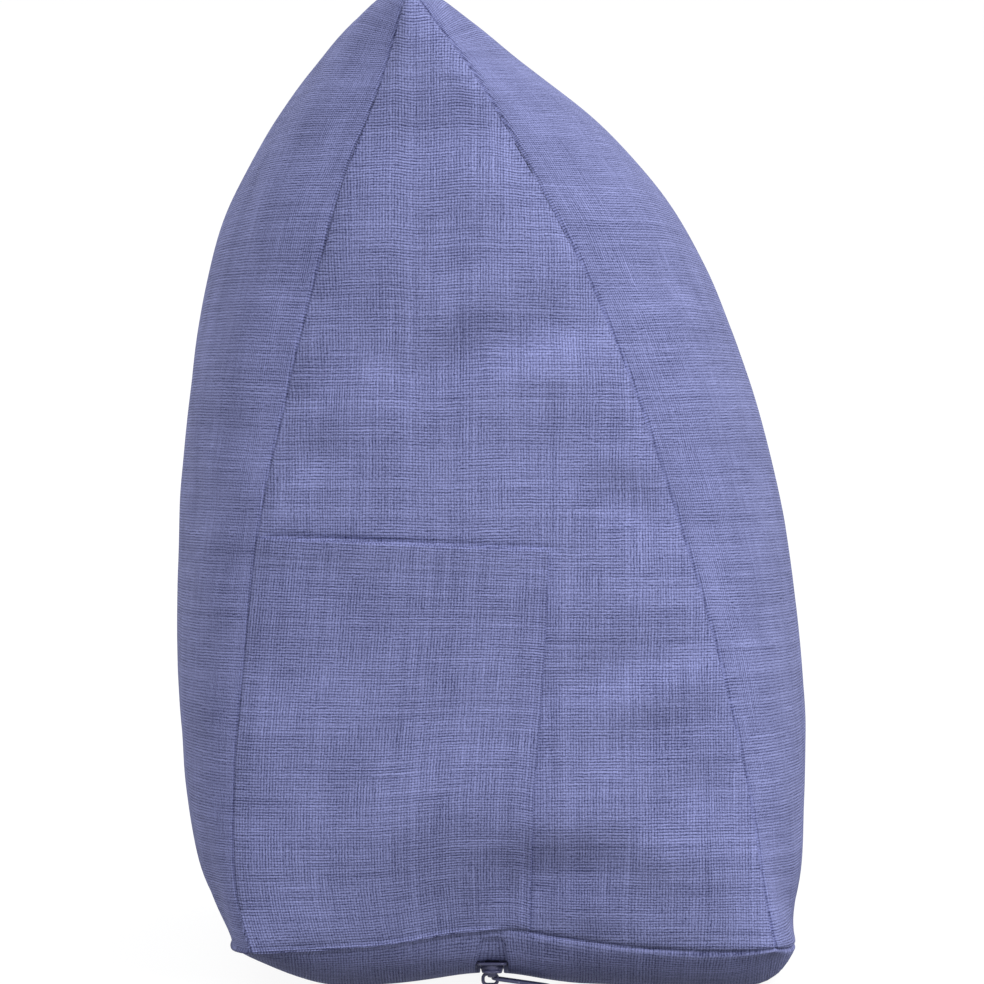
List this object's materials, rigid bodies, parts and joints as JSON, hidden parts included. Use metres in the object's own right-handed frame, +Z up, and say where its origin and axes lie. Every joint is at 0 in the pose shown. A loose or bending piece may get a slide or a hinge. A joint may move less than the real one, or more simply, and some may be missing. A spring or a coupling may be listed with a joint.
{
  "type": "wedge back cushion",
  "caption": "Stuffed wedge back cushion in plain-weave cloth, with a patch pocket on one end panel and a zip along its base.",
  "frame": {"origin": "on the floor, under the middle of the cushion's bounding box", "axes": "+X towards the long leaning side, -X towards the steep back, +Y along the cushion away from the pocket end, +Z up"},
  "size_m": [0.3016, 0.4793, 0.4573],
  "materials": {
    "cover": "blue-lilac linen-look plain weave with slubs, matt",
    "pocket_cloth": "the cover's plain weave, matt",
    "zip_tape": "fine twill tape, matt",
    "zip_coil": "nylon coil, satin",
    "zip_metal": "dark enamel with worn edges, satin"
  },
  "bodies": {
    "root": {"cushion": "cover", "pocket": "pocket_cloth", "zip_tape_back": "zip_tape", "zip_tape_front": "zip_tape", "zip_coil": "zip_coil", "zip_slider": "zip_metal", "zip_link": "zip_metal", "zip_puller": "zip_metal"}
  },
  "joints": []
}
